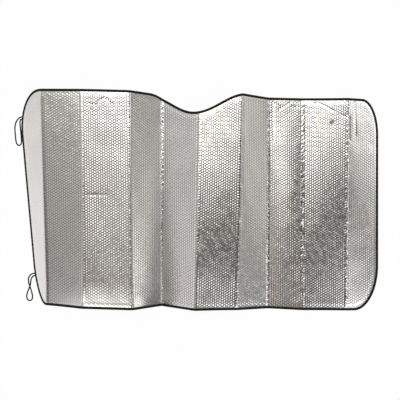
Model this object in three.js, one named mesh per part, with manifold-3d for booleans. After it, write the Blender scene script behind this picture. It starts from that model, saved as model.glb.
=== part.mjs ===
// Folding windscreen sunshade: one pleated sheet of foil-faced bubble film with a
// fabric binding, two elastic closing loops and a clear suction cup.
// It lies on the floor with the foil up: +X along its width, +Y to its top edge, +Z up.
// Millimetres throughout.
import * as THREE from 'three';
import Module from 'manifold-3d';

const wasm = await Module();
wasm.setup();

// The sheet as it was cut, measured flat: u runs to the right, v runs up.
const sheetHeight = 800;
const panelWidths = [126, 152, 178, 140, 152, 158, 131, 130, 168, 124];
const leftEdgeLean = 64;
const filmThickness = 4;
const sewnThickness = 1.6;
const sewnMargin = 11;
const padMargin = 22;

// The top and bottom edges were cut askew of the folds: from the left-hand end to the
// right-hand one they drop by this much.
const edgeSkew = 32;

// The dip for the mirror in the top edge.
const mirrorDipDepth = 68;
const mirrorDipHalfWidth = 191;

// Rounded corners, each an ellipse quarter: width along u, height along v.
const cornerTopLeft = { width: 118, height: 165 };
const cornerBottomLeft = { width: 58, height: 150 };
const cornerTopRight = { width: 65, height: 131 };
const cornerBottomRight = { width: 93, height: 174 };

// How far each panel is open: its slope in degrees along the top and the bottom edge.
const topSlopes = [34, 5, -1, -35.1, 21.2, 8, -36, 0, 10.3, -14];
const bottomSlopes = [39, 17, 4.3, -43.7, 32.3, -9.9, -24.3, 9.3, -5.5, -2.3];
const foldReach = 6;

// The folded fabric tape around the edge.
const bindingWidth = 9.5;
const bindingThickness = 0.7;
const clearance = 0.3;

// The suction cup and the hole that holds its neck.
const cupFromRightEdge = 184;
const cupFromTopEdge = 90;
const cupRadius = 12.5;
const cupLipWidth = 1.6;
const cupHeight = 7;
const bossRadius = 7;
const bossHeight = 1.8;
const neckRadius = 3;
const headRadius = 5.8;
const headHeight = 2.9;
const rimThickness = 0.8;
const cupBelly = 0.4;

// Shares of the head's and the bowl's radius and depth, from the middle out and in.
const headDome = [[0.5, 0.95], [0.85, 0.65], [1, 0.3]];
const bowl = [[0.8, 0.2], [0.45, 0.38], [0, 0.45]];

// The elastic loops: a flat band with both ends sewn to the left edge.
const elasticWidth = 5;
const elasticThickness = 1.2;
const elasticSteps = 48;
const upperLoopRoute = [
  [-674.9, 319.6, 8.2], [-679, 319.4, 6.9], [-685.4, 317.2, 3.4], [-692.6, 311.6, 1.7], [-698.6, 302.4, 1.35],
  [-702.4, 291, 1.25], [-703.8, 278, 1.25], [-703.4, 264.6, 1.25], [-702.2, 251, 1.25], [-701, 238, 1.25],
  [-699.2, 226.5, 1.25], [-695.6, 217, 1.25], [-688.8, 212.4, 1.25], [-682, 215.4, 1.25], [-679, 225.4, 1.25],
  [-679.4, 240, 1.25], [-680.6, 254, 1.25], [-682, 268, 1.25], [-683.2, 281, 1.35], [-684, 293, 2],
  [-683.6, 303, 3.6], [-680.6, 309.6, 5.6], [-675.9, 311, 7],
];
const lowerLoopRoute = [
  [-626.7, -283.4, 4], [-631.2, -283.8, 2.6], [-637.2, -287.6, 1.5], [-641.4, -294.6, 1.1], [-643.4, -303, 1.05],
  [-644.5, -313, 1.05], [-646.7, -323, 1.05], [-650.5, -333, 1.05], [-654.7, -343, 1.05], [-658.1, -354, 1.05],
  [-658.7, -365, 1.05], [-654.7, -374.4, 1.05], [-646.9, -378.2, 1.05], [-639.5, -374, 1.05], [-636.9, -365, 1.05],
  [-638.1, -354, 1.1], [-640.5, -344, 1.2], [-643.1, -334, 2.2], [-646.3, -324.5, 2.55], [-649.7, -315, 2.4],
  [-652, -305, 1.2], [-652.2, -295, 1.1], [-649.2, -286, 1.05], [-643.2, -278.8, 1.2], [-635.4, -275.1, 2],
  [-628.4, -274.4, 3.3],
];

// How finely the curves are cut.
const fieldRows = 8;
const cornerSteps = 7;
const panelStep = 62;
const dipStep = 22;
const foldSteps = 4;
const shortestStep = 1;
const cupSegments = 40;

const foilColour = 0xc9c9c6;
const bindingColour = 0x1a1b18;
const elasticColour = 0x141412;
const cupColour = 0x9a9b95;

const panelCount = panelWidths.length;
const foldAt = [0];
for (const width of panelWidths) {
  foldAt.push(foldAt.at(-1) + width);
}
const flatWidth = foldAt.at(-1);
const dipCentre = flatWidth / 2;

function leftEdge(v) {
  return leftEdgeLean * (1 - v / sheetHeight);
}

// The folds' places along one edge, as (x, z) with the right-hand end at the origin.
function foldLine(slopes, firstWidth) {
  const places = [new THREE.Vector2(0, 0)];
  slopes.forEach((slope, panel) => {
    const width = panel === 0 ? firstWidth : panelWidths[panel];
    const angle = THREE.MathUtils.degToRad(slope);
    const step = new THREE.Vector2(Math.cos(angle), Math.sin(angle)).multiplyScalar(width);
    places.push(places.at(-1).clone().add(step));
  });
  const end = places.at(-1).x;
  return places.map((place) => new THREE.Vector2(place.x - end, place.y));
}

const topFolds = foldLine(topSlopes, panelWidths[0]);
const bottomFolds = foldLine(bottomSlopes, panelWidths[0] - leftEdgeLean);

function crease(fold, v) {
  return bottomFolds[fold].clone().lerp(topFolds[fold], v / sheetHeight);
}

function panelPoint(panel, u, v) {
  const start = panel === 0 ? leftEdge(v) : foldAt[panel];
  const share = (u - start) / (foldAt[panel + 1] - start);
  return crease(panel, v).lerp(crease(panel + 1, v), share);
}

function panelOf(u) {
  const next = foldAt.findIndex((place) => place > u);
  if (next === 0) {
    return 0;
  }
  return next === -1 ? panelCount - 1 : next - 1;
}

// Takes a point of the flat sheet to its place in the folded one.
// The offset is the distance off the sheet's middle, towards the foil side.
function folded(u, v, offset) {
  const fold = foldAt.findIndex((place, index) => (
    index > 0 && index < panelCount && Math.abs(u - place) < foldReach
  ));
  let place = null;
  let along = null;
  if (fold > 0) {
    const bend = new THREE.QuadraticBezierCurve(
      panelPoint(fold - 1, foldAt[fold] - foldReach, v),
      crease(fold, v),
      panelPoint(fold, foldAt[fold] + foldReach, v),
    );
    const share = (u - foldAt[fold] + foldReach) / (2 * foldReach);
    place = bend.getPoint(share);
    along = bend.getTangent(share);
  } else {
    const panel = panelOf(u);
    place = panelPoint(panel, u, v);
    along = crease(panel + 1, v).sub(crease(panel, v)).normalize();
  }
  return new THREE.Vector3(
    place.x - offset * along.y,
    v - sheetHeight / 2,
    place.y + offset * along.x,
  );
}

function skewAt(u) {
  return edgeSkew * (0.5 - u / flatWidth);
}

// A station is a point of the outline with the direction into the sheet, as long
// as it takes to go 1 mm in from the edge.
function station(u, v, inU, inV) {
  return { at: new THREE.Vector2(u, v + skewAt(u)), inward: new THREE.Vector2(inU, inV) };
}

function topStation(u) {
  const reach = (u - dipCentre) / mirrorDipHalfWidth;
  if (Math.abs(reach) >= 1) {
    return station(u, sheetHeight, 0, -1);
  }
  const dip = mirrorDipDepth * (1 + Math.cos(Math.PI * reach)) / 2;
  const rise = mirrorDipDepth * Math.PI * Math.sin(Math.PI * reach) / (2 * mirrorDipHalfWidth);
  return station(u, sheetHeight - dip, 0, -Math.hypot(1, rise));
}

function cornerStations(corner, room, isTop, isLeft) {
  const width = Math.min(corner.width, room);
  const lean = isLeft ? -leftEdgeLean / sheetHeight : 0;
  const up = isTop ? 1 : -1;
  const right = isLeft ? 1 : -1;
  const stations = [];
  for (let step = 0; step <= cornerSteps; step += 1) {
    const angle = Math.PI / 2 * step / cornerSteps;
    const rise = corner.height * (Math.sin(angle) - 1);
    const v = isTop ? sheetHeight + rise : -rise;
    const edge = isLeft ? leftEdge(v) : flatWidth;
    const u = edge + right * width * (1 - Math.cos(angle));
    const riseRate = up * corner.height * Math.cos(angle);
    const alongRate = right * width * Math.sin(angle) + lean * riseRate;
    const inward = new THREE.Vector2(riseRate, -alongRate).normalize().multiplyScalar(up * right);
    stations.push(station(u, v, inward.x, inward.y));
  }
  return stations;
}

function runPlaces() {
  const places = [];
  for (let fold = 1; fold < panelCount; fold += 1) {
    for (let step = 0; step < foldSteps; step += 1) {
      places.push(foldAt[fold] + foldReach * (2 * step / (foldSteps - 1) - 1));
    }
    if (fold < panelCount - 1) {
      const from = foldAt[fold] + foldReach;
      const to = foldAt[fold + 1] - foldReach;
      const inDip = to > dipCentre - mirrorDipHalfWidth && from < dipCentre + mirrorDipHalfWidth;
      const cuts = Math.ceil((to - from) / (inDip ? dipStep : panelStep));
      for (let cut = 1; cut < cuts; cut += 1) {
        places.push(from + (to - from) * cut / cuts);
      }
    }
  }
  return places;
}

// Columns of the sheet, left to right: a pair of stations on the bottom and top edges.
const leftRoom = foldAt[1] - foldReach - shortestStep;
const rightRoom = panelWidths.at(-1) - foldReach - shortestStep;
const topRow = [
  ...cornerStations(cornerTopLeft, leftRoom, true, true),
  ...runPlaces().map(topStation),
  ...cornerStations(cornerTopRight, rightRoom, true, false).reverse(),
];
const bottomRow = [
  ...cornerStations(cornerBottomLeft, leftRoom - leftEdgeLean, false, true),
  ...runPlaces().map((u) => station(u, 0, 0, 1)),
  ...cornerStations(cornerBottomRight, rightRoom, false, false).reverse(),
];
const lastColumn = topRow.length - 1;

function sideStation(column, row) {
  const share = row / fieldRows;
  const low = bottomRow[column];
  const high = topRow[column];
  return {
    at: low.at.clone().lerp(high.at, share),
    inward: low.inward.clone().lerp(high.inward, share),
  };
}

// The outline once round, anticlockwise, with the field vertex that each station meets.
const outline = [];
for (let column = 0; column <= lastColumn; column += 1) {
  outline.push({ ...bottomRow[column], column, row: 0 });
}
for (let row = 1; row < fieldRows; row += 1) {
  outline.push({ ...sideStation(lastColumn, row), column: lastColumn, row });
}
for (let column = lastColumn; column >= 0; column -= 1) {
  outline.push({ ...topRow[column], column, row: fieldRows });
}
for (let row = fieldRows - 1; row > 0; row -= 1) {
  outline.push({ ...sideStation(0, row), column: 0, row });
}

function insetPoint(spot, inset) {
  return spot.at.clone().addScaledVector(spot.inward, inset);
}

function signedVolume(points, triangles) {
  let volume = 0;
  for (const [a, b, c] of triangles) {
    volume += points[a].dot(points[b].clone().cross(points[c]));
  }
  return volume;
}

function closedGeometry(points, triangles) {
  const outward = signedVolume(points, triangles) > 0;
  const geometry = new THREE.BufferGeometry().setFromPoints(points);
  geometry.setIndex(triangles.flatMap(([a, b, c]) => (outward ? [a, b, c] : [a, c, b])));
  return geometry;
}

function quad(a, b, c, d) {
  return [[a, b, c], [a, c, d]];
}

// The sheet is padded in the field and pressed thin under the binding.
function makeSheet() {
  const points = [];
  const triangles = [];
  const side = { front: 1, back: -1 };
  const field = { front: [], back: [] };
  const rings = { front: [], back: [] };
  for (const face of ['front', 'back']) {
    const padded = side[face] * filmThickness / 2;
    const sewn = side[face] * sewnThickness / 2;
    for (let column = 0; column <= lastColumn; column += 1) {
      const low = insetPoint(bottomRow[column], padMargin);
      const high = insetPoint(topRow[column], padMargin);
      field[face].push([]);
      for (let row = 0; row <= fieldRows; row += 1) {
        const spot = low.clone().lerp(high, row / fieldRows);
        field[face][column].push(points.length);
        points.push(folded(spot.x, spot.y, padded));
      }
    }
    for (const inset of [sewnMargin, 0]) {
      rings[face].push(outline.map((stop) => {
        const spot = insetPoint(stop, inset);
        points.push(folded(spot.x, spot.y, sewn));
        return points.length - 1;
      }));
    }
    const faces = [];
    for (let column = 0; column < lastColumn; column += 1) {
      for (let row = 0; row < fieldRows; row += 1) {
        const here = field[face][column];
        const next = field[face][column + 1];
        faces.push(...quad(here[row], next[row], next[row + 1], here[row + 1]));
      }
    }
    const [inner, outer] = rings[face];
    outline.forEach((stop, index) => {
      const after = (index + 1) % outline.length;
      const nextStop = outline[after];
      const fieldHere = field[face][stop.column][stop.row];
      const fieldNext = field[face][nextStop.column][nextStop.row];
      faces.push(...quad(inner[index], inner[after], fieldNext, fieldHere));
      faces.push(...quad(outer[index], outer[after], inner[after], inner[index]));
    });
    triangles.push(...faces.map(([a, b, c]) => (face === 'front' ? [a, b, c] : [a, c, b])));
  }
  const front = rings.front[1];
  const back = rings.back[1];
  outline.forEach((stop, index) => {
    const after = (index + 1) % outline.length;
    triangles.push(...quad(back[index], back[after], front[after], front[index]));
  });
  return closedGeometry(points, triangles);
}

// The tape's section as (inset from the sheet's edge, offset from its middle).
function bindingSection() {
  const inner = sewnThickness / 2 + clearance;
  const outer = inner + bindingThickness;
  const edge = -clearance - bindingThickness;
  const round = bindingThickness;
  return [
    [bindingWidth + edge, outer],
    [edge + 2 * round, outer],
    [edge + 0.4 * round, outer - 0.6 * round],
    [edge, inner - 0.6 * round],
    [edge, 0.6 * round - inner],
    [edge + 0.4 * round, 0.6 * round - outer],
    [edge + 2 * round, -outer],
    [bindingWidth + edge, -outer],
    [bindingWidth + edge, -inner],
    [-clearance, -inner],
    [-clearance, inner],
    [bindingWidth + edge, inner],
  ];
}

function makeBinding() {
  const section = bindingSection();
  const points = [];
  const triangles = [];
  for (const stop of outline) {
    for (const [inset, offset] of section) {
      const spot = insetPoint(stop, inset);
      points.push(folded(spot.x, spot.y, offset));
    }
  }
  outline.forEach((stop, index) => {
    const here = index * section.length;
    const next = ((index + 1) % outline.length) * section.length;
    section.forEach((corner, side) => {
      const after = (side + 1) % section.length;
      triangles.push(...quad(here + side, here + after, next + after, next + side));
    });
  });
  return closedGeometry(points, triangles);
}

function toSolid(geometry) {
  const merged = { numProp: 3 };
  merged.vertProperties = new Float32Array(geometry.attributes.position.array);
  merged.triVerts = new Uint32Array(geometry.index.array);
  return new wasm.Manifold(new wasm.Mesh(merged));
}

function toGeometry(solid) {
  const mesh = solid.getMesh();
  const geometry = new THREE.BufferGeometry();
  geometry.setAttribute('position', new THREE.BufferAttribute(mesh.vertProperties, 3));
  geometry.setIndex(new THREE.BufferAttribute(mesh.triVerts, 1));
  return geometry;
}

// Where the cup sits: the sheet's middle and the direction out of its foil side.
const cupU = flatWidth - cupFromRightEdge;
const cupV = sheetHeight + skewAt(cupU) - cupFromTopEdge;
const cupPlace = folded(cupU, cupV, 0);
const cupAcross = folded(cupU + 1, cupV, 0).sub(cupPlace);
const cupUp = folded(cupU, cupV + 1, 0).sub(cupPlace);
const cupAxis = cupAcross.cross(cupUp).normalize();
const cupTurn = new THREE.Quaternion().setFromUnitVectors(new THREE.Vector3(0, 1, 0), cupAxis);

function lathed(profile) {
  const outlinePoints = profile.map(([radius, height]) => new THREE.Vector2(radius, height));
  const geometry = new THREE.LatheGeometry(outlinePoints, cupSegments);
  geometry.applyQuaternion(cupTurn);
  geometry.translate(cupPlace.x, cupPlace.y, cupPlace.z);
  return geometry;
}

// The hole is a closed ring of points swept straight through the sheet.
function makeHole() {
  const radius = neckRadius + clearance;
  const points = [];
  const triangles = [];
  for (const height of [-filmThickness, filmThickness]) {
    for (let step = 0; step < cupSegments; step += 1) {
      const angle = 2 * Math.PI * step / cupSegments;
      const rim = new THREE.Vector3(radius * Math.cos(angle), height, radius * Math.sin(angle));
      points.push(rim.applyQuaternion(cupTurn).add(cupPlace));
    }
  }
  for (let step = 1; step < cupSegments - 1; step += 1) {
    triangles.push([0, step, step + 1]);
    triangles.push([cupSegments, cupSegments + step + 1, cupSegments + step]);
  }
  for (let step = 0; step < cupSegments; step += 1) {
    const after = (step + 1) % cupSegments;
    triangles.push(...quad(after, step, cupSegments + step, cupSegments + after));
  }
  return closedGeometry(points, triangles);
}

// One soft moulding: head behind the sheet, neck in the hole, boss and cup in front.
function makeCup() {
  const seat = filmThickness / 2 + clearance;
  const bossTop = seat + bossHeight;
  const lip = seat + cupHeight;
  const lipInside = cupRadius - cupLipWidth;
  return lathed([
    [0, -seat - headHeight],
    ...headDome.map(([out, down]) => [headRadius * out, -seat - headHeight * down]),
    [headRadius, -seat],
    [neckRadius, -seat],
    [neckRadius, seat],
    [bossRadius, seat],
    [bossRadius, bossTop],
    [(bossRadius + cupRadius) / 2, (bossTop + lip) / 2 - cupBelly],
    [cupRadius, lip - rimThickness],
    [cupRadius, lip],
    [lipInside, lip],
    ...bowl.map(([out, down]) => [lipInside * out, lip - cupHeight * down]),
  ]);
}

// The band's section is flat with eased edges: its width lies along x, which the
// sweep keeps level because each route starts out level and square to the edge.
function makeElastic(route) {
  const thick = elasticThickness / 2;
  const wide = elasticWidth / 2;
  const ease = elasticThickness / 3;
  const section = new THREE.Shape([
    new THREE.Vector2(wide - ease, -thick),
    new THREE.Vector2(wide, -thick / 2),
    new THREE.Vector2(wide, thick / 2),
    new THREE.Vector2(wide - ease, thick),
    new THREE.Vector2(ease - wide, thick),
    new THREE.Vector2(-wide, thick / 2),
    new THREE.Vector2(-wide, -thick / 2),
    new THREE.Vector2(ease - wide, -thick),
  ]);
  const path = new THREE.CatmullRomCurve3(route.map(([x, y, z]) => new THREE.Vector3(x, y, z)));
  return new THREE.ExtrudeGeometry(section, {
    steps: elasticSteps,
    extrudePath: path,
  });
}

function named(name, geometry, colour, roughness, metalness) {
  const material = new THREE.MeshStandardMaterial({ color: colour, roughness, metalness });
  const mesh = new THREE.Mesh(geometry, material);
  mesh.name = name;
  return mesh;
}

const shade = new THREE.Group();
const sheetSolid = toSolid(makeSheet()).subtract(toSolid(makeHole()));
shade.add(named('sunshade_sheet', toGeometry(sheetSolid), foilColour, 0.35, 0.9));
shade.add(named('edge_binding', makeBinding(), bindingColour, 0.85, 0));
shade.add(named('suction_cup', makeCup(), cupColour, 0.15, 0));

// The shade stands on z = 0 with the middle of its box over the origin.
const shadeBox = new THREE.Box3().setFromObject(shade, true);
shade.position.x = -(shadeBox.min.x + shadeBox.max.x) / 2;
shade.position.y = -(shadeBox.min.y + shadeBox.max.y) / 2;
shade.position.z = -shadeBox.min.z;

const sunshade = new THREE.Group();
sunshade.add(shade);
sunshade.add(named('elastic_loop_upper', makeElastic(upperLoopRoute), elasticColour, 0.9, 0));
sunshade.add(named('elastic_loop_lower', makeElastic(lowerLoopRoute), elasticColour, 0.9, 0));

export default sunshade;
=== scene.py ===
import math
import bpy
import numpy as np
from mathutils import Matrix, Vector
from mathutils.geometry import delaunay_2d_cdt


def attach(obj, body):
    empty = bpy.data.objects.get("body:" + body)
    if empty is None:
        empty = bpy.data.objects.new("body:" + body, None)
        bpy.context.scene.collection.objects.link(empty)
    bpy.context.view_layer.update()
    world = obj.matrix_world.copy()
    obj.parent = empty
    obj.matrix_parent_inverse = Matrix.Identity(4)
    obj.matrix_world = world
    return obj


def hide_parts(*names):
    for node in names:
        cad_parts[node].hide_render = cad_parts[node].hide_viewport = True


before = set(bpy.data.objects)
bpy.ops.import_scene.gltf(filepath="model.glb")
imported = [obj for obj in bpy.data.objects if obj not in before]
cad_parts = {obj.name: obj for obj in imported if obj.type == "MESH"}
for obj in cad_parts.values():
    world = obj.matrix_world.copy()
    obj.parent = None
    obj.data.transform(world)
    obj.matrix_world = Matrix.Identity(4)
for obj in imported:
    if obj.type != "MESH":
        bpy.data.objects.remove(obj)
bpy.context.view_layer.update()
scene = bpy.context.scene
scene.view_settings.view_transform = "Standard"
dice = np.random.default_rng(11)
mm = 0.001

# camera: straight down, as the photograph looks at the sheet

camera = {"place": (0.0006, 0.0046, 2.1708), "lens": 51.3, "sensor": 36.0}
cameraData = bpy.data.cameras.new("camera")
cameraData.lens = camera["lens"]
cameraData.sensor_width = camera["sensor"]
cameraData.clip_end = 20
cameraObject = bpy.data.objects.new("camera", cameraData)
cameraObject.location = camera["place"]
scene.collection.objects.link(cameraObject)
scene.camera = cameraObject
print("camera set")


# helpers for nodes and meshes

def newGroup(name, inputs, outputs):
    tree = bpy.data.node_groups.new(name, "ShaderNodeTree")
    for label, kind, value in inputs:
        socket = tree.interface.new_socket(label, in_out="INPUT", socket_type=kind)
        socket.default_value = value
    for label, kind in outputs:
        tree.interface.new_socket(label, in_out="OUTPUT", socket_type=kind)
    return tree, tree.nodes.new("NodeGroupInput").outputs, tree.nodes.new("NodeGroupOutput").inputs


def put(tree, socket, value):
    if isinstance(value, bpy.types.NodeSocket):
        tree.links.new(value, socket)
    else:
        socket.default_value = value


def reckon(tree, operation, first, second=None, third=None, clamp=False):
    node = tree.nodes.new("ShaderNodeMath")
    node.operation = operation
    node.use_clamp = clamp
    for socket, value in zip(node.inputs, (first, second, third)):
        if value is not None:
            put(tree, socket, value)
    return node.outputs[0]


def vectorMath(tree, operation, first, second=None, scale=None):
    node = tree.nodes.new("ShaderNodeVectorMath")
    node.operation = operation
    put(tree, node.inputs[0], first)
    if second is not None:
        put(tree, node.inputs[1], second)
    if scale is not None:
        put(tree, node.inputs["Scale"], scale)
    return node.outputs["Value"] if operation in ("DOT_PRODUCT", "LENGTH") else node.outputs["Vector"]


def smooth(tree, value, low, high, outLow=0.0, outHigh=1.0):
    node = tree.nodes.new("ShaderNodeMapRange")
    node.interpolation_type = "SMOOTHSTEP"
    for label, entry in (("Value", value), ("From Min", low), ("From Max", high),
                         ("To Min", outLow), ("To Max", outHigh)):
        put(tree, node.inputs[label], entry)
    return node.outputs["Result"]


def noise(tree, place, scale, detail=3.0, roughness=0.5):
    node = tree.nodes.new("ShaderNodeTexNoise")
    put(tree, node.inputs["Vector"], place)
    node.inputs["Scale"].default_value = scale
    node.inputs["Detail"].default_value = detail
    node.inputs["Roughness"].default_value = roughness
    return node.outputs["Fac"]


def mixColour(tree, share, first, second, blend="MIX"):
    node = tree.nodes.new("ShaderNodeMix")
    node.data_type = "RGBA"
    node.blend_type = blend
    put(tree, node.inputs[0], share)
    put(tree, node.inputs[6], first)
    put(tree, node.inputs[7], second)
    return node.outputs[2]


def bump(tree, height, distance, strength=1.0):
    node = tree.nodes.new("ShaderNodeBump")
    node.inputs["Distance"].default_value = distance
    node.inputs["Strength"].default_value = strength
    put(tree, node.inputs["Height"], height)
    return node.outputs["Normal"]


def useGroup(tree, group, values):
    node = tree.nodes.new("ShaderNodeGroup")
    node.node_tree = group
    for label, value in values.items():
        put(tree, node.inputs[label], value)
    return node.outputs


def newMaterial(name):
    material = bpy.data.materials.new(name)
    material.use_nodes = True
    tree = material.node_tree
    return material, tree, tree.nodes["Principled BSDF"].inputs


def coordinate(tree, output):
    return tree.nodes.new("ShaderNodeTexCoord").outputs[output]


def attribute(tree, name):
    node = tree.nodes.new("ShaderNodeAttribute")
    node.attribute_name = name
    return node.outputs["Fac"]


def storeAttribute(piece, name, values):
    layer = piece.data.attributes.new(name, "FLOAT", "POINT")
    layer.data.foreach_set("value", np.asarray(values, np.float32))


def makePiece(name, points, faces, material, uv=None):
    mesh = bpy.data.meshes.new(name)
    mesh.from_pydata(np.asarray(points, float).tolist(), [], faces)
    mesh.shade_smooth()
    if uv is not None:
        corners = np.zeros(len(mesh.loops), np.int32)
        mesh.loops.foreach_get("vertex_index", corners)
        layer = mesh.uv_layers.new(name="flat")
        layer.data.foreach_set("uv", np.asarray(uv, np.float32)[corners].ravel())
    mesh.materials.append(material)
    piece = bpy.data.objects.new(name, mesh)
    scene.collection.objects.link(piece)
    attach(piece, "root")
    return piece


def tubeFaces(rings, around, closed=False):
    faces = []
    for ring in range(rings if closed else rings - 1):
        after = (ring + 1) % rings
        for side in range(around):
            turn = (side + 1) % around
            faces.append((ring * around + side, ring * around + turn,
                          after * around + turn, after * around + side))
    return faces


def capFaces(rings, around):
    last = (rings - 1) * around
    return [tuple(range(around))[::-1], tuple(range(last, last + around))]


# shared effects: a plain weave, and dust in patches and specks

weaveTree, weaveIn, weaveOut = newGroup(
    "weave",
    [("Place", "NodeSocketVector", (0, 0, 0)), ("Threads", "NodeSocketFloat", 900.0)],
    [("Height", "NodeSocketFloat")],
)
scaled = vectorMath(weaveTree, "SCALE", weaveIn["Place"], scale=weaveIn["Threads"])
split = weaveTree.nodes.new("ShaderNodeSeparateXYZ")
weaveTree.links.new(scaled, split.inputs[0])
warp = reckon(weaveTree, "SINE", reckon(weaveTree, "MULTIPLY", split.outputs["X"], math.pi))
weft = reckon(weaveTree, "SINE", reckon(weaveTree, "MULTIPLY", split.outputs["Y"], math.pi))
over = reckon(weaveTree, "MULTIPLY", warp, weft)
weaveTree.links.new(reckon(weaveTree, "MULTIPLY_ADD", over, 0.5, 0.5), weaveOut["Height"])

dust = {"patchScale": 14.0, "speckScale": 420.0, "patchBand": (0.45, 0.75), "speckBand": (0.55, 0.8),
        "patchShare": 0.6, "speckShare": 0.4}
dustTree, dustIn, dustOut = newGroup(
    "dust",
    [("Place", "NodeSocketVector", (0, 0, 0)), ("Amount", "NodeSocketFloat", 0.3)],
    [("Mask", "NodeSocketFloat")],
)
patches = smooth(dustTree, noise(dustTree, dustIn["Place"], dust["patchScale"], 4.0, 0.6), *dust["patchBand"])
specks = smooth(dustTree, noise(dustTree, dustIn["Place"], dust["speckScale"], 2.0, 0.7), *dust["speckBand"])
specks = reckon(dustTree, "MULTIPLY", specks, dust["speckShare"])
both = reckon(dustTree, "MULTIPLY_ADD", patches, dust["patchShare"], specks)
dustTree.links.new(reckon(dustTree, "MULTIPLY", both, dustIn["Amount"], clamp=True), dustOut["Mask"])


def newFabric(name, look):
    material, tree, principled = newMaterial(name)
    threads = useGroup(tree, weaveTree, {"Place": coordinate(tree, "UV"), "Threads": look["threads"]})
    dirt = useGroup(tree, dustTree, {"Place": coordinate(tree, "Object"), "Amount": look["dust"]})
    put(tree, principled["Base Color"], mixColour(tree, dirt["Mask"], look["colour"], look["dustColour"]))
    principled["Roughness"].default_value = look["roughness"]
    principled["Specular IOR Level"].default_value = look["specular"]
    principled["Sheen Weight"].default_value = look["sheen"]
    put(tree, principled["Normal"], bump(tree, threads["Height"], look["weaveDepth"], look["weaveStrength"]))
    return material


print("shared effects made")


# the elastic loops: flat braided bands that hang off the left edge and lie on the floor

elastic = {
    "width": 5.0, "thickness": 1.2, "stations": 260, "ribs": 5, "ribDepth": 0.16, "edgeShare": 0.45,
    "colour": (0.0075, 0.0078, 0.007, 1), "dustColour": (0.12, 0.12, 0.11, 1), "dust": 0.12,
    "roughness": 0.88, "specular": 0.2, "sheen": 0.04,
    "threads": 1250.0, "weaveDepth": 0.00035, "weaveStrength": 0.9,
}
elasticMaterial = newFabric("braided elastic", elastic)

upperRoute = [
    (-674.9, 319.6, 8.2), (-679, 319.4, 6.9), (-685.4, 317.2, 3.4), (-692.6, 311.6, 1.7),
    (-698.6, 302.4, 1.35), (-702.4, 291, 1.25), (-703.8, 278, 1.25), (-703.4, 264.6, 1.25),
    (-702.2, 251, 1.25), (-701, 238, 1.25), (-699.2, 226.5, 1.25), (-695.6, 217, 1.25),
    (-688.8, 212.4, 1.25), (-682, 215.4, 1.25), (-679, 225.4, 1.25), (-679.4, 240, 1.25),
    (-680.6, 254, 1.25), (-682, 268, 1.25), (-683.2, 281, 1.35), (-684, 293, 2),
    (-683.6, 303, 3.6), (-680.6, 309.6, 5.6), (-675.9, 311, 7),
]
lowerRoute = [
    (-626.7, -283.4, 4), (-631.2, -283.8, 2.6), (-637.2, -287.6, 1.5), (-641.4, -294.6, 1.1),
    (-643.4, -303, 1.05), (-644.5, -313, 1.05), (-646.7, -323, 1.05), (-650.5, -333, 1.05),
    (-654.7, -343, 1.05), (-658.1, -354, 1.05), (-658.7, -365, 1.05), (-654.7, -374.4, 1.05),
    (-646.9, -378.2, 1.05), (-639.5, -374, 1.05), (-636.9, -365, 1.05), (-638.1, -354, 1.1),
    (-640.5, -344, 1.2), (-643.1, -334, 2.2), (-646.3, -324.5, 2.55), (-649.7, -315, 2.4),
    (-652, -305, 1.2), (-652.2, -295, 1.1), (-649.2, -286, 1.05), (-643.2, -278.8, 1.2),
    (-635.4, -275.1, 2), (-628.4, -274.4, 3.3),
]


def curvePoint(before, start, end, after, part):
    return 0.5 * (2 * start + (end - before) * part
                  + (2 * before - 5 * start + 4 * end - after) * part ** 2
                  + (3 * start - before - 3 * end + after) * part ** 3)


def curveThrough(route, count):
    stops = np.array(route, float)
    stops = np.vstack([2 * stops[0] - stops[1], stops, 2 * stops[-1] - stops[-2]])
    dense = []
    for index in range(1, len(stops) - 2):
        for part in np.linspace(0, 1, 24, endpoint=False):
            dense.append(curvePoint(*stops[index - 1:index + 3], part))
    dense.append(stops[-2])
    dense = np.array(dense)
    run = np.concatenate([[0], np.cumsum(np.linalg.norm(np.diff(dense, axis=0), axis=1))])
    even = np.linspace(0, run[-1], count)
    return np.stack([np.interp(even, run, dense[:, axis]) for axis in range(3)], 1), run[-1]


def makeElastic(name, route, replaced):
    path, length = curveThrough(route, elastic["stations"])
    along = np.gradient(path, axis=0)
    along /= np.linalg.norm(along, axis=1)[:, None]
    across = np.cross(along, (0, 0, 1))
    across /= np.linalg.norm(across, axis=1)[:, None]
    upward = np.cross(across, along)
    half, thick = elastic["width"] / 2, elastic["thickness"] / 2
    side = np.linspace(-1, 1, 2 * elastic["ribs"] + 1)
    crown = thick - elastic["ribDepth"] * (np.arange(len(side)) % 2 == 0)
    crown[[0, -1]] = thick * elastic["edgeShare"]
    section = [(share * half, height) for share, height in zip(side, crown)]
    section += [(share * half, -height) for share, height in zip(side[::-1], crown[::-1])]
    points, uv = [], []
    for index in range(len(path)):
        for place, height in section:
            points.append((path[index] + across[index] * place + upward[index] * height) * mm)
            uv.append((length * index / (len(path) - 1) * mm, (place + half) * mm))
    faces = tubeFaces(len(path), len(section)) + capFaces(len(path), len(section))
    band = makePiece(name, points, faces, elasticMaterial, uv)
    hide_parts(replaced)


makeElastic("closing_loop_upper", upperRoute, "elastic_loop_upper")
makeElastic("closing_loop_lower", lowerRoute, "elastic_loop_lower")
print("elastic loops made")


# the whole sheet as it was cut: u runs to the right, v runs up, in millimetres, with the area in square metres

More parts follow.
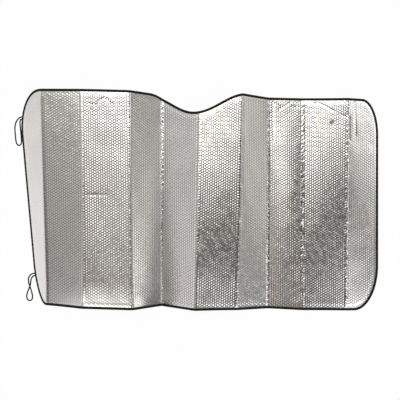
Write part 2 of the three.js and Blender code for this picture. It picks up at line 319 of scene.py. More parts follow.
sunshade = {
    "height": 800.0, "area": 1.117,
    "panels": [126, 152, 178, 140, 152, 158, 131, 130, 168, 124],
    "leftLean": 64.0,
    "skew": 32.0,
    "dipDepth": 68.0, "dipHalfWidth": 191.0,
    "cornerTopLeft": (118, 165), "cornerBottomLeft": (58, 150),
    "cornerTopRight": (65, 131), "cornerBottomRight": (93, 174),
    "topSlopes": [34, 5, -1, -35.1, 21.2, 8, -36, 0, 10.3, -14],
    "bottomSlopes": [39, 17, 4.3, -43.7, 32.3, -9.9, -24.3, 9.3, -5.5, -2.3],
    "foldReach": 6.0, "cornerSteps": 41, "outlineStep": 4.5,
    "shift": (677.336, 0.274, 1.904),
    "filmHalf": 2.0, "sewnHalf": 0.8, "sewnMargin": 11.0, "padMargin": 22.0,
    # how far folds and panels' middles stand off the straight shape, at the bottom, halfway up and at the top
    "foldRise": {2: (5.5, -1.5, 1.0), 3: (3.5, -2.5, 0.5), 5: (1.0, -0.5, 0.0), 6: (-3.5, 2.0, -1.5),
                 9: (3.5, 1.5, -1.5)},
    "panelCrown": {1: (-2.0, -0.5, 0.5), 2: (-0.5, -2.5, 2.0), 3: (-1.0, -0.5, 0.5), 5: (-3.0, -2.0, -1.0),
                   6: (0.0, 0.5, -1.0), 7: (0.0, 6.5, 0.0), 8: (-1.0, 1.0, -2.0), 9: (-2.5, 1.0, 0.0)},
    # how far the bottom edge curls up at each fold, and from how far off it starts
    "bottomCurl": [1, 4.5, 10.5, 7, 3, 2.5, 1.5, 0.5, 1, 0.5, 0], "curlReach": 95.0,
}
height = sunshade["height"]
foldAt = np.concatenate([[0], np.cumsum(sunshade["panels"])]).astype(float)
flatWidth = foldAt[-1]
lastPanel = len(sunshade["panels"]) - 1


def leftEdge(v):
    return sunshade["leftLean"] * (1 - v / height)


def foldLine(slopes, firstWidth):
    widths = np.array(sunshade["panels"], float)
    widths[0] = firstWidth
    turn = np.radians(slopes)
    places = np.vstack([[0, 0], np.cumsum(np.stack([widths * np.cos(turn), widths * np.sin(turn)], 1), 0)])
    return places - (places[-1, 0], 0)


topFolds = foldLine(sunshade["topSlopes"], sunshade["panels"][0])
bottomFolds = foldLine(sunshade["bottomSlopes"], sunshade["panels"][0] - sunshade["leftLean"])


def skewAt(u):
    return sunshade["skew"] * (0.5 - u / flatWidth)


def riseAt(heights, v):
    stops = np.concatenate([[2 * heights[0] - heights[1]], heights, [2 * heights[-1] - heights[-2]]])
    place = np.clip(v / height, 0, 1) * (len(heights) - 1)
    first = np.clip(place.astype(int), 0, len(heights) - 2)
    return curvePoint(*(stops[first + step] for step in range(4)), place - first)


def panelShare(u, v):
    panel = np.clip(np.searchsorted(foldAt, u, side="right") - 1, 0, lastPanel)
    start = np.where(panel == 0, leftEdge(v), foldAt[panel])
    return panel, np.clip((u - start) / (foldAt[panel + 1] - start), 0, 1)


def bow(u, v):
    panel, share = panelShare(u, v)
    rise = np.zeros(len(u))
    for fold, heights in sunshade["foldRise"].items():
        nearness = np.where(panel == fold - 1, share, 0) + np.where(panel == fold, 1 - share, 0)
        rise += riseAt(heights, v) * nearness
    for crowned, heights in sunshade["panelCrown"].items():
        rise += riseAt(heights, v) * np.where(panel == crowned, 4 * share * (1 - share), 0)
    curl = np.array(sunshade["bottomCurl"])
    near = np.clip(1 - (v - skewAt(u)) / sunshade["curlReach"], 0, 1.3)
    return rise + (curl[panel] * (1 - share) + curl[panel + 1] * share) * near ** 2


def foldedPlace(u, v, offset):
    u, v = np.asarray(u, float), np.asarray(v, float)
    offset = offset + bow(u, v)
    share = (v / height)[:, None]
    reach = sunshade["foldReach"]

    def crease(fold):
        return bottomFolds[fold] * (1 - share) + topFolds[fold] * share

    def panelPoint(panel, place):
        start = np.where(panel == 0, leftEdge(v), foldAt[panel])
        part = ((place - start) / (foldAt[panel + 1] - start))[:, None]
        return crease(panel) * (1 - part) + crease(panel + 1) * part

    panel = np.clip(np.searchsorted(foldAt, u, side="right") - 1, 0, lastPanel)
    place = panelPoint(panel, u)
    along = crease(panel + 1) - crease(panel)
    fold = np.clip(np.argmin(np.abs(u[:, None] - foldAt[None, :]), 1), 1, lastPanel)
    bent = (np.abs(u - foldAt[fold]) < reach)[:, None]
    at = crease(fold)
    before, after = panelPoint(fold - 1, foldAt[fold] - reach), panelPoint(fold, foldAt[fold] + reach)
    part = ((u - foldAt[fold] + reach) / (2 * reach))[:, None]
    place = np.where(bent, before * (1 - part) ** 2 + 2 * at * part * (1 - part) + after * part ** 2, place)
    along = np.where(bent, (at - before) * (1 - part) + (after - at) * part, along)
    along /= np.linalg.norm(along, axis=1)[:, None]
    across = place[:, 0] - offset * along[:, 1]
    upward = place[:, 1] + offset * along[:, 0]
    world = np.stack([across, v - height / 2, upward], 1)
    return (world + sunshade["shift"]) * mm


# the outline once round, anticlockwise from the bottom left corner, with the way in from it

def outlineStops():
    turn = np.linspace(0, math.pi / 2, sunshade["cornerSteps"] + 1)
    step = sunshade["outlineStep"]

    def corner(size, isTop, isLeft):
        wide, tall = size
        rise = tall * (np.sin(turn) - 1)
        v = height + rise if isTop else -rise
        side = 1 if isLeft else -1
        u = (leftEdge(v) if isLeft else np.full(len(v), flatWidth)) + side * wide * (1 - np.cos(turn))
        return list(zip(u, v))

    bottomLeft = corner(sunshade["cornerBottomLeft"], False, True)
    bottomRight = corner(sunshade["cornerBottomRight"], False, False)[::-1]
    topRight = corner(sunshade["cornerTopRight"], True, False)
    topLeft = corner(sunshade["cornerTopLeft"], True, True)[::-1]
    stops = list(bottomLeft)
    stops += [(u, 0.0) for u in np.arange(bottomLeft[-1][0] + step, bottomRight[0][0] - step / 2, step)]
    stops += bottomRight
    stops += [(flatWidth, v) for v in np.arange(bottomRight[-1][1] + step, topRight[0][1] - step / 2, step)]
    stops += topRight
    for u in np.arange(topRight[-1][0] - step, topLeft[0][0] + step / 2, -step):
        reach = (u - flatWidth / 2) / sunshade["dipHalfWidth"]
        dip = sunshade["dipDepth"] * (1 + math.cos(math.pi * reach)) / 2 if abs(reach) < 1 else 0
        stops.append((u, height - dip))
    stops += topLeft
    stops += [(leftEdge(v), v) for v in np.arange(topLeft[-1][1] - step, bottomLeft[0][1] + step / 2, -step)]
    stops = np.array(stops)
    stops[:, 1] += skewAt(stops[:, 0])
    return stops


outline = outlineStops()
ahead = np.roll(outline, -1, 0) - np.roll(outline, 1, 0)
ahead /= np.linalg.norm(ahead, axis=1)[:, None]
inward = np.stack([-ahead[:, 1], ahead[:, 0]], 1)
farAway, batch = 1e9, 4000


def edgeDistance(u, v):
    start, end = outline, np.roll(outline, -1, 0)
    run = end - start
    squared = (run ** 2).sum(1)
    nearest = np.full(len(u), farAway)
    for first in range(0, len(u), batch):
        spots = np.stack([u[first:first + batch], v[first:first + batch]], 1)
        away = spots[:, None, :] - start[None]
        part = np.clip((away * run).sum(2) / squared, 0, 1)
        gap = np.linalg.norm(away - part[..., None] * run, axis=2)
        nearest[first:first + batch] = gap.min(1)
    return nearest


def insideOutline(u, v):
    inside = np.zeros(len(u), bool)
    for (startU, startV), (endU, endV) in zip(outline, np.roll(outline, -1, 0)):
        if startV != endV:
            crosses = (v < startV) != (v < endV)
            inside ^= crosses & (u < startU + (v - startV) * (endU - startU) / (endV - startV))
    return inside


# bubble film: one dome on each hexagon, crushed along the folds and flat under the tape

film = {
    "pitch": 9.6, "domeHeight": 0.85, "unevenness": 0.22, "keep": 6.4,
    # bubbles are crushed up to the first distance and whole from the second
    "crushAtFold": (1.5, 6.0), "crushAtEdge": (9.0, 20.0), "leastDome": 0.08,
    # how far in from the cut edge dents, crumples and the painted crease shade start, and from where they are
    # whole
    "dentEdge": (9, 14), "crumpleEdge": (9, 16), "creaseShadeEdge": (8, 14),
    # how full the bubbles are at the left and right of each panel, from the left-hand panel on
    "panelFill": [(0.2, 0.2), (1, 1), (1, 1), (1, 0.45), (0.8, 0.9), (1, 1), (0.5, 0.9), (0.95, 1),
                  (1, 1), (0.4, 0.75)],
    "foldCrumple": [0.1, 0.1, 0.2, 0.4, 0.2, 0.25, 0.5, 0.5, 0.5], "crumpleReach": (2.0, 9.0),
    # each painted crease shade, a dark line in the foil's colour along a fold: how dark at the bottom, the
    # middle and the top, how wide, how far right of the fold
    "creaseShades": [(1.0, 0.95, 0.45, 7.0, 4.5), (0, 0, 0, 4, 0), (0.7, 0.7, 0.3, 3.6, 0.0),
                (0.4, 0.8, 0.3, 3.2, 2.0), (0.2, 0.4, 0.9, 2.8, 1.0), (0.95, 0.95, 0.9, 3.8, -2.6),
                (0.7, 0.65, 0.75, 3.0, 1.5), (0.5, 0.8, 0.7, 3.4, -3.6), (0.2, 0.7, 0.5, 3.2, -3.0)],
    # the bubbles near the bottom edge of the left half are pressed flatter
    "pressed": {"left": (120, 200), "right": (550, 620), "above": (22, 62), "share": 0.75},
    "waveHeight": 0.28, "waveCount": 26, "waveLength": (70, 220), "waveFold": (0, 30), "waveEdge": (4, 40),
    # dents from handling, each a line through points (u, v)
    "dents": [
        [(1075, 747), (1118, 773)], [(1061, 772), (1092, 760)], [(1124, 764), (1150, 758)],
        [(1211, 775), (1231, 771), (1282, 743)], [(1304, 727), (1324, 721)],
        [(309, 758), (330, 753), (361, 781), (399, 756)], [(314, 737), (321, 727)], [(296, 423), (369, 423)],
        [(1053, 777), (1054, 632)], [(1362, 773), (1367, 649)], [(1343, 720), (1344, 630)],
        [(912, 790), (912, 470)], [(131, 775), (131, 40)],
    ],
    "dentDepth": 0.65, "dentWidth": 3.4,
    "backStep": 26.0, "backRim": 10.0, "backBeside": (-6, -2, 2, 6), "backGap": (12, 14),
    "backFromEdge": 9.0, "backFromHole": 6.0,
    # the foil's own colours, and the dark colour of the painted shade in the grooves between the bubbles
    "cool": (0.80, 0.80, 0.79, 1), "warm": (0.84, 0.83, 0.80, 1), "groove": (0.05, 0.05, 0.048, 1),
    "warmScale": 5.0, "warmBand": (0.35, 0.65), "grooveShadeBand": (0.62, 1.08),
    "grooveShadeShare": 0.72, "roughness": 0.17,
}
hole = {"fromRight": 184.0, "fromTop": 90.0, "radius": 3.3, "clear": 9.5, "sides": 24}
cupU = flatWidth - hole["fromRight"]
cupV = height + skewAt(cupU) - hole["fromTop"]

unitU, unitV = film["pitch"] / math.sqrt(3) / 4, film["pitch"] / 4
columns = np.arange(0, int(flatWidth / (6 * unitU)) + 2)
rows = np.arange(-6, int(height / (4 * unitV)) + 8)
centreI = np.repeat(columns * 6, len(rows))
centreJ = (rows[None, :] * 4 + (columns[:, None] % 2) * 2).ravel()
around = np.array([(4, 0), (3, 1), (2, 2), (0, 2), (-2, 2), (-3, 1),
                   (-4, 0), (-3, -1), (-2, -2), (0, -2), (2, -2), (3, -1)])
centreU, centreV = centreI * unitU, centreJ * unitV
held = insideOutline(centreU, centreV)
centreI, centreJ, centreU, centreV = (row[held] for row in (centreI, centreJ, centreU, centreV))
held = edgeDistance(centreU, centreV) > film["keep"]
held &= np.hypot(centreU - cupU, centreV - cupV) > hole["clear"]
centreI, centreJ, centreU, centreV = (row[held] for row in (centreI, centreJ, centreU, centreV))
bubbleCount = len(centreI)
keyStep = 10000
rimKeys = (centreI[:, None] + around[:, 0]) * keyStep + centreJ[:, None] + around[:, 1]
rimUnique, rimIndex = np.unique(rimKeys, return_inverse=True)
rimIndex = rimIndex.reshape(rimKeys.shape) + bubbleCount
rimI = np.round(rimUnique / keyStep).astype(int)
rimJ = rimUnique - rimI * keyStep
latticeU = np.concatenate([centreU, rimI * unitU])
latticeV = np.concatenate([centreV, rimJ * unitV])
print("bubbles", bubbleCount)

# the flat border between the outermost bubbles and the cut edge, and round the cup's hole
keptCells = set(zip(centreI.tolist(), centreJ.tolist()))
rimPairs = np.stack([rimIndex, np.roll(rimIndex, -1, 1)], 2).reshape(-1, 2)
pairKeys = np.sort(rimPairs, 1)
uniquePairs, pairUses = np.unique(pairKeys, axis=0, return_counts=True)
openPairs = uniquePairs[pairUses == 1]
openRim = np.unique(openPairs)
holeTurn = np.arange(hole["sides"]) * 2 * math.pi / hole["sides"]
holeRing = np.stack([cupU + hole["radius"] * np.cos(holeTurn), cupV + hole["radius"] * np.sin(holeTurn)], 1)
borderSpots = np.vstack([np.stack([latticeU[openRim], latticeV[openRim]], 1), outline, holeRing])
rimPlace = {int(old): new for new, old in enumerate(openRim)}
borderEdges = [(rimPlace[int(start)], rimPlace[int(end)]) for start, end in openPairs]
firstOutline, firstHole = len(openRim), len(openRim) + len(outline)


def ringEdges(first, count):
    return [(first + step, first + (step + 1) % count) for step in range(count)]


def triangulate(spots, edges):
    found = delaunay_2d_cdt([Vector(spot) for spot in spots.tolist()], edges, [], 1, 1e-6)
    return np.array([tuple(spot) for spot in found[0]]), found[2], found[3]


borderEdges += ringEdges(firstOutline, len(outline)) + ringEdges(firstHole, hole["sides"])
spots, borderFaces, originals = triangulate(borderSpots, borderEdges)


def cellOf(u, v):
    bestI, bestJ, best = None, None, np.full(len(u), farAway)
    for shift in (0, 1):
        i = np.round((u / unitU - 6 * shift) / 12) * 12 + 6 * shift
        j = np.round((v / unitV - 2 * shift) / 4) * 4 + 2 * shift
        gap = np.hypot(u - i * unitU, v - j * unitV)
        bestI = i if bestI is None else np.where(gap < best, i, bestI)
        bestJ = j if bestJ is None else np.where(gap < best, j, bestJ)
        best = np.minimum(best, gap)
    return bestI.astype(int), bestJ.astype(int)


middle = np.array([spots[list(face)].mean(0) for face in borderFaces])
cellI, cellJ = cellOf(middle[:, 0], middle[:, 1])
onBorder = np.array([(i, j) not in keptCells for i, j in zip(cellI.tolist(), cellJ.tolist())])
onBorder &= np.hypot(middle[:, 0] - cupU, middle[:, 1] - cupV) > hole["radius"] * 0.99
frontIndex = []
extraSpots = []
latticeCount = len(latticeU)
for number, origin in enumerate(originals):
    source = min(origin) if origin else -1
    if 0 <= source < firstOutline:
        frontIndex.append(int(openRim[source]))
    else:
        frontIndex.append(latticeCount + len(extraSpots))
        extraSpots.append((spots[number], source))
frontU = np.concatenate([latticeU, [spot[0] for spot, source in extraSpots]])
frontV = np.concatenate([latticeV, [spot[1] for spot, source in extraSpots]])
edgeVertex = {source - firstOutline: latticeCount + index for index, (spot, source) in enumerate(extraSpots)
              if firstOutline <= source < firstHole}
holeVertex = {source - firstHole: latticeCount + index for index, (spot, source) in enumerate(extraSpots)
              if source >= firstHole}

bubbleOf = np.repeat(np.arange(bubbleCount), len(around))
frontFaces = np.stack([bubbleOf, rimPairs[:, 0], rimPairs[:, 1]], 1)
flatFaces = np.array([[frontIndex[corner] for corner in face]
                      for face, kept in zip(borderFaces, onBorder) if kept])
frontFaces = np.vstack([frontFaces, flatFaces])
cornerU, cornerV = frontU[frontFaces], frontV[frontFaces]
turned = ((cornerU[:, 1] - cornerU[:, 0]) * (cornerV[:, 2] - cornerV[:, 0])
          - (cornerU[:, 2] - cornerU[:, 0]) * (cornerV[:, 1] - cornerV[:, 0]))
frontFaces[turned < 0] = frontFaces[turned < 0][:, ::-1]

frontEdge = edgeDistance(frontU, frontV)
frontFold = np.abs(frontU[:, None] - foldAt[None, 1:-1]).min(1)


def filmHalf(distance):
    sewn = sunshade["sewnMargin"]
    part = np.clip((distance - sewn) / (sunshade["padMargin"] - sewn), 0, 1)
    return sunshade["sewnHalf"] + (sunshade["filmHalf"] - sunshade["sewnHalf"]) * part


def rounded(value, low, high):
    part = np.clip((value - low) / (high - low), 0, 1)
    return part * part * (3 - 2 * part)


waves = [(dice.uniform(0, 2 * math.pi), dice.uniform(*film["waveLength"]), dice.uniform(0, 2 * math.pi),
          dice.uniform(0.4, 1)) for wave in range(film["waveCount"])]


def waviness(u, v):
    total = np.zeros(len(u))
    for way, length, phase, size in waves:
        total += size * np.sin(2 * math.pi * (u * math.cos(way) + v * math.sin(way)) / length + phase)
    return total * film["waveHeight"] / math.sqrt(film["waveCount"] / 2)


def wavy(u, v, edge, fold):
    return waviness(u, v) * rounded(fold, *film["waveFold"]) * rounded(edge, *film["waveEdge"])


def dented(u, v):
    depth = np.zeros(len(u))
    for line in film["dents"]:
        away = np.full(len(u), farAway)
        for (startU, startV), (endU, endV) in zip(line, line[1:]):
            runU, runV = endU - startU, endV - startV
            part = np.clip(((u - startU) * runU + (v - startV) * runV) / (runU ** 2 + runV ** 2), 0, 1)
            away = np.minimum(away, np.hypot(u - startU - part * runU, v - startV - part * runV))
        depth = np.maximum(depth, np.exp(-(away / film["dentWidth"]) ** 2))
    return depth


panel, share = panelShare(frontU, frontV)
fills = np.array(film["panelFill"])
fill = fills[panel, 0] * (1 - share) + fills[panel, 1] * share
flattened = 1 - rounded(frontFold, *film["crushAtFold"]) * rounded(frontEdge, *film["crushAtEdge"])
pressed = (1 - rounded(frontU, *film["pressed"]["right"])) * rounded(frontU, *film["pressed"]["left"])
pressed *= 1 - rounded(frontV - skewAt(frontU), *film["pressed"]["above"])
fill = fill * (1 - film["pressed"]["share"] * pressed)
raised = fill * (1 - flattened)
dent = dented(frontU, frontV) * rounded(frontEdge, *film["dentEdge"])
nearestFold = np.argmin(np.abs(frontU[:, None] - foldAt[None, 1:-1]), 1)
crumple = np.array(film["foldCrumple"])[nearestFold] * (1 - rounded(frontFold, *film["crumpleReach"]))
crumple *= dice.standard_normal(len(frontU)).clip(-2, 2) * rounded(frontEdge, *film["crumpleEdge"])
perBubble = 1 + film["unevenness"] * dice.standard_normal(bubbleCount).clip(-2, 2)
dome = np.zeros(len(frontU))
domeShare = film["leastDome"] + (1 - film["leastDome"]) * raised[:bubbleCount]
dome[:bubbleCount] = film["domeHeight"] * perBubble * domeShare
frontOffset = filmHalf(frontEdge) - film["domeHeight"] * (1 - flattened) + dome
frontOffset += wavy(frontU, frontV, frontEdge, frontFold) + crumple - film["dentDepth"] * dent
frontPoints = foldedPlace(frontU, frontV, frontOffset)

# the back skin: a coarser net that shares the cut edge
backColumns = [0.0]
for panel in range(len(sunshade["panels"])):
    first, last = foldAt[panel] + film["backGap"][0], foldAt[panel + 1] - film["backGap"][1]
    backColumns += list(np.arange(first, last, film["backStep"]))
    backColumns += [foldAt[panel + 1] + step for step in film["backBeside"]]
backColumns = np.array(backColumns)
backRows = np.arange(8, height, film["backStep"])
netU, netV = (grid.ravel() for grid in np.meshgrid(backColumns, backRows))
netV = netV + skewAt(netU)
held = insideOutline(netU, netV)
netU, netV = netU[held], netV[held]
held = edgeDistance(netU, netV) > film["backFromEdge"]
held &= np.hypot(netU - cupU, netV - cupV) > film["backFromHole"]
netU, netV = netU[held], netV[held]
ringStart = len(outline)
backSpots = np.vstack([outline, holeRing, outline + inward * film["backRim"], np.stack([netU, netV], 1)])
backEdges = ringEdges(0, ringStart) + ringEdges(ringStart, hole["sides"])
backFlat, backTriangles, backOrigins = triangulate(backSpots, backEdges)
backEdge = edgeDistance(backFlat[:, 0], backFlat[:, 1])
backFold = np.abs(backFlat[:, :1] - foldAt[None, 1:-1]).min(1)
backWave = wavy(backFlat[:, 0], backFlat[:, 1], backEdge, backFold)
backPoints = foldedPlace(backFlat[:, 0], backFlat[:, 1], -filmHalf(backEdge) + np.maximum(backWave, 0))
backStart = len(frontPoints)
backFaces = []
for face in backTriangles:
    centre = backFlat[list(face)].mean(0)
    if math.hypot(centre[0] - cupU, centre[1] - cupV) > hole["radius"] * 0.99:
        backFaces.append(tuple(backStart + corner for corner in reversed(face)))
backOf = {min(origin): backStart + number for number, origin in enumerate(backOrigins) if origin}
sideFaces = []
for start, after in ringEdges(0, ringStart):
    sideFaces.append((edgeVertex[after], edgeVertex[start], backOf[start], backOf[after]))
for start, after in ringEdges(0, hole["sides"]):
    sideFaces.append((holeVertex[start], holeVertex[after],
                      backOf[ringStart + after], backOf[ringStart + start]))

# a mask of the grooves between the bubbles, used only for the painted shade in the foil's colour
cellTree, cellIn, cellOut = newGroup(
    "bubble cells",
    [("Flat", "NodeSocketVector", (0, 0, 0)), ("Pitch", "NodeSocketFloat", 0.0096)],
    [("GrooveShade", "NodeSocketFloat")],
)
split = cellTree.nodes.new("ShaderNodeSeparateXYZ")
halfPitches = reckon(cellTree, "DIVIDE", 2.0, cellIn["Pitch"])
cellTree.links.new(vectorMath(cellTree, "SCALE", cellIn["Flat"], scale=halfPitches), split.inputs[0])
rowGap = math.sqrt(3)
nearest = None
for shiftU, shiftV in ((0.0, 0.0), (rowGap, 1.0)):
    shiftedU = reckon(cellTree, "SUBTRACT", split.outputs["X"], shiftU)
    shiftedV = reckon(cellTree, "SUBTRACT", split.outputs["Y"], shiftV)
    awayU = reckon(cellTree, "WRAP", shiftedU, rowGap, -rowGap)
    awayV = reckon(cellTree, "WRAP", shiftedV, 1.0, -1.0)
    squared = reckon(cellTree, "MULTIPLY_ADD", awayU, awayU, reckon(cellTree, "MULTIPLY", awayV, awayV))
    away = reckon(cellTree, "SQRT", squared)
    nearest = away if nearest is None else reckon(cellTree, "MINIMUM", nearest, away)
cellTree.links.new(smooth(cellTree, nearest, *film["grooveShadeBand"]), cellOut["GrooveShade"])

foilMaterial, tree, principled = newMaterial("metallised film")
cells = useGroup(tree, cellTree, {"Flat": coordinate(tree, "UV"), "Pitch": film["pitch"] * mm})
warmth = smooth(tree, noise(tree, coordinate(tree, "Object"), film["warmScale"], 2.0), *film["warmBand"])
foilColour = mixColour(tree, warmth, film["cool"], film["warm"])
# painted shade: the base colour darkens in the grooves between the bubbles, less where the bubbles are flat
shade = reckon(tree, "MULTIPLY", cells["GrooveShade"], attribute(tree, "fullness"))
shade = reckon(tree, "MULTIPLY", shade, film["grooveShadeShare"])
# the crease attribute is painted shade along the folds
shade = reckon(tree, "MAXIMUM", shade, attribute(tree, "crease"))
put(tree, principled["Base Color"], mixColour(tree, shade, foilColour, film["groove"]))
principled["Metallic"].default_value = 1.0
principled["Roughness"].default_value = film["roughness"]

allPoints = np.vstack([frontPoints, backPoints])
allFlat = np.vstack([np.stack([frontU, frontV], 1), backFlat]) * mm
filmFaces = frontFaces.tolist() + backFaces + sideFaces
bubbleFilm = makePiece("bubble_film", allPoints, filmFaces, foilMaterial, allFlat)
edges = np.zeros(2 * len(bubbleFilm.data.edges), np.int32)
bubbleFilm.data.edges.foreach_get("vertices", edges)
edges = edges.reshape(-1, 2)
grooveEdges = (edges >= bubbleCount).all(1) & (edges < latticeCount).all(1)
sharp = bubbleFilm.data.attributes.new("sharp_edge", "BOOLEAN", "EDGE")
sharp.data.foreach_set("value", grooveEdges)
onBack = np.zeros(len(backPoints))
fullness = np.clip(fill * (1 - 0.5 * flattened), 0, 1) * (frontEdge > 10)
storeAttribute(bubbleFilm, "fullness", np.concatenate([fullness, onBack]))
# painted shade: dark broken lines along the folds, stored in the crease attribute and mixed into the foil's
# base colour
creaseShade = np.zeros(len(frontU))
for fold, (bottom, centre, top, width, offset) in enumerate(film["creaseShades"], 1):
    dark = np.interp(frontV, [0, height / 2, height], [bottom, centre, top])
    creaseShade = np.maximum(creaseShade, dark * np.exp(-((frontU - foldAt[fold] - offset) / width) ** 2))
broken = 0.7 + 0.3 * np.sin(frontV / 5.3) * np.sin(frontV / 17 + frontU)
creaseShade = creaseShade * rounded(frontEdge, *film["creaseShadeEdge"]) * broken
storeAttribute(bubbleFilm, "crease", np.concatenate([creaseShade, onBack]))
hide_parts("sunshade_sheet")
print("film made", len(filmFaces))


# the fabric tape, folded over the edge and sewn on

tape = {
    "section": [(8.5, 1.12), (8.45, 1.5), (7.9, 1.74), (7.0, 1.68), (6.2, 1.5), (5.4, 1.68), (3.6, 1.82),
                (1.2, 1.82), (-0.2, 1.62), (-0.8, 1.1), (-1.0, 0.4)],
    "inner": [(8.4, -1.0), (-0.3, -0.9), (-0.3, 0.9), (8.4, 1.0)],
    "pucker": 0.14, "puckerLength": 11.0, "puckerWaves": 40, "leastPucker": -0.1,
    "freeEdge": 7.5, "freeEdgePull": 1.4,
    "colour": (0.0105, 0.011, 0.0095, 1), "dustColour": (0.10, 0.10, 0.09, 1), "dust": 0.12,
    "roughness": 0.85, "specular": 0.2, "sheen": 0.04,
    "threads": 1500.0, "weaveDepth": 0.0003, "weaveStrength": 0.8,
}
tapeMaterial = newFabric("woven tape", tape)

front = tape["section"]
section = np.array(front + [(inset, -offset) for inset, offset in front[::-1]] + tape["inner"])
run = np.concatenate([[0], np.cumsum(np.linalg.norm(np.diff(outline, axis=0), axis=1))])
pucker = np.zeros(len(run))
for wave in range(tape["puckerWaves"]):
    pucker += np.sin(run / dice.uniform(0.6, 2.2) / tape["puckerLength"] * 2 * math.pi + dice.uniform(0, 6.3))
pucker *= tape["pucker"] / math.sqrt(tape["puckerWaves"] / 2)
stationCount, sectionCount = len(outline), len(section)
insets = np.repeat(section[None, :, 0], stationCount, 0)
offsets = np.repeat(section[None, :, 1], stationCount, 0)
isOuter = (np.arange(sectionCount) < 2 * len(front))[None, :]
swell = np.maximum(pucker[:, None], tape["leastPucker"])
offsets = offsets + np.where(isOuter, np.sign(offsets) * swell, 0)
isFree = (section[:, 0] > tape["freeEdge"])[None, :]
insets = insets + np.where(isFree, pucker[:, None] * tape["freeEdgePull"], 0)
flatTape = outline[:, None, :] + inward[:, None, :] * insets[..., None]
tapePoints = foldedPlace(flatTape[..., 0].ravel(), flatTape[..., 1].ravel(), offsets.ravel())
acrossTape = np.concatenate([[0], np.cumsum(np.linalg.norm(np.diff(section, axis=0), axis=1))])
tapeUv = np.stack(np.broadcast_arrays(run[:, None], acrossTape[None, :]), 2).reshape(-1, 2) * mm
tapeFaces = [face[::-1] for face in tubeFaces(stationCount, sectionCount, closed=True)]
edgeTape = makePiece("edge_tape", tapePoints, tapeFaces, tapeMaterial, tapeUv)
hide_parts("edge_binding")
print("tape made", len(tapeFaces))


# the sewing thread: short stitches that sink into the tape, on both sides, and tacks over the elastic's ends

thread = {
    "pitch": 3.2, "length": 2.5, "radius": 0.2, "inset": 6.2, "unevenness": 0.12, "level": 1.62, "sides": 5,
    # each ring of a stitch: how far along it lies, its share of the radius and its rise
    "shape": [(0.0, 0.35, -0.22), (0.12, 0.9, -0.06), (0.5, 1.0, 0.1), (0.88, 0.9, -0.06),
              (1.0, 0.35, -0.22)],
    "tack": {"half": 2.4, "threads": 9, "slant": 0.3, "from": 1.0, "to": 4.6, "level": 1.95},
    "colour": (0.014, 0.0145, 0.013, 1), "roughness": 0.55, "sheen": 0.3,
    "twist": 900.0, "twistDepth": 0.0001,
}
threadMaterial, tree, principled = newMaterial("sewing thread")
principled["Base Color"].default_value = thread["colour"]
principled["Roughness"].default_value = thread["roughness"]
principled["Sheen Weight"].default_value = thread["sheen"]
twist = tree.nodes.new("ShaderNodeTexWave")
twist.bands_direction = "DIAGONAL"
twist.inputs["Scale"].default_value = thread["twist"]
put(tree, twist.inputs["Vector"], coordinate(tree, "Object"))
put(tree, principled["Normal"], bump(tree, twist.outputs["Fac"], thread["twistDepth"], 0.6))


def outlineAt(place, inset):
    place = np.asarray(place) % run[-1]
    spot = np.stack([np.interp(place, run, outline[:, axis]) for axis in (0, 1)], 1)
    way = np.stack([np.interp(place, run, inward[:, axis]) for axis in (0, 1)], 1)
    return spot + way * np.asarray(inset).reshape(-1, 1)


def makeStitches(name, starts, ends, level):
    points, faces = [], []
    sides = thread["sides"]
    turn = np.arange(sides) * 2 * math.pi / sides
    rings = []
    for share, size, rise in thread["shape"]:
        spot = starts * (1 - share) + ends * share
        rings.append((spot, size * thread["radius"], level + rise * math.copysign(1, level)))
    middle = [foldedPlace(spot[:, 0], spot[:, 1], np.full(len(spot), off)) for spot, size, off in rings]
    above = foldedPlace(rings[2][0][:, 0], rings[2][0][:, 1], np.full(len(starts), level + 1.0))
    up = above - foldedPlace(rings[2][0][:, 0], rings[2][0][:, 1], np.full(len(starts), level))
    up /= np.linalg.norm(up, axis=1)[:, None]
    way = middle[-1] - middle[0]
    side = np.cross(way, up)
    side /= np.linalg.norm(side, axis=1)[:, None]
    for stitch in range(len(starts)):
        base = len(points)
        for centre, (spot, size, off) in zip(middle, rings):
            for angle in turn:
                out = side[stitch] * math.cos(angle) + up[stitch] * math.sin(angle)
                points.append(centre[stitch] + out * size * mm)
        faces += [tuple(base + corner for corner in face)
                  for face in tubeFaces(len(rings), sides) + capFaces(len(rings), sides)]
    makePiece(name, points, faces, threadMaterial)


stitchStart = np.arange(0, run[-1] - thread["pitch"], thread["pitch"])
for name, level in (("stitches_front", thread["level"]), ("stitches_back", -thread["level"])):
    insets = thread["inset"] + thread["unevenness"] * dice.standard_normal(len(stitchStart))
    stitchEnds = outlineAt(stitchStart + thread["length"], insets)
    makeStitches(name, outlineAt(stitchStart, insets), stitchEnds, level)

tack = thread["tack"]
edgePlaces = foldedPlace(outline[:, 0], outline[:, 1], np.zeros(len(outline)))
tackPlaces = [run[np.argmin(np.linalg.norm(edgePlaces - np.array(stop) * mm, axis=1))]
              for route in (upperRoute, lowerRoute) for stop in (route[0], route[-1])]
across = np.concatenate([place + np.linspace(-tack["half"], tack["half"], tack["threads"])
                         for place in tackPlaces])
makeStitches("loop_tacks", outlineAt(across, tack["from"]), outlineAt(across + tack["slant"], tack["to"]),
             tack["level"])
print("thread made")


# the suction cup: one clear moulding turned about the neck that goes through the film

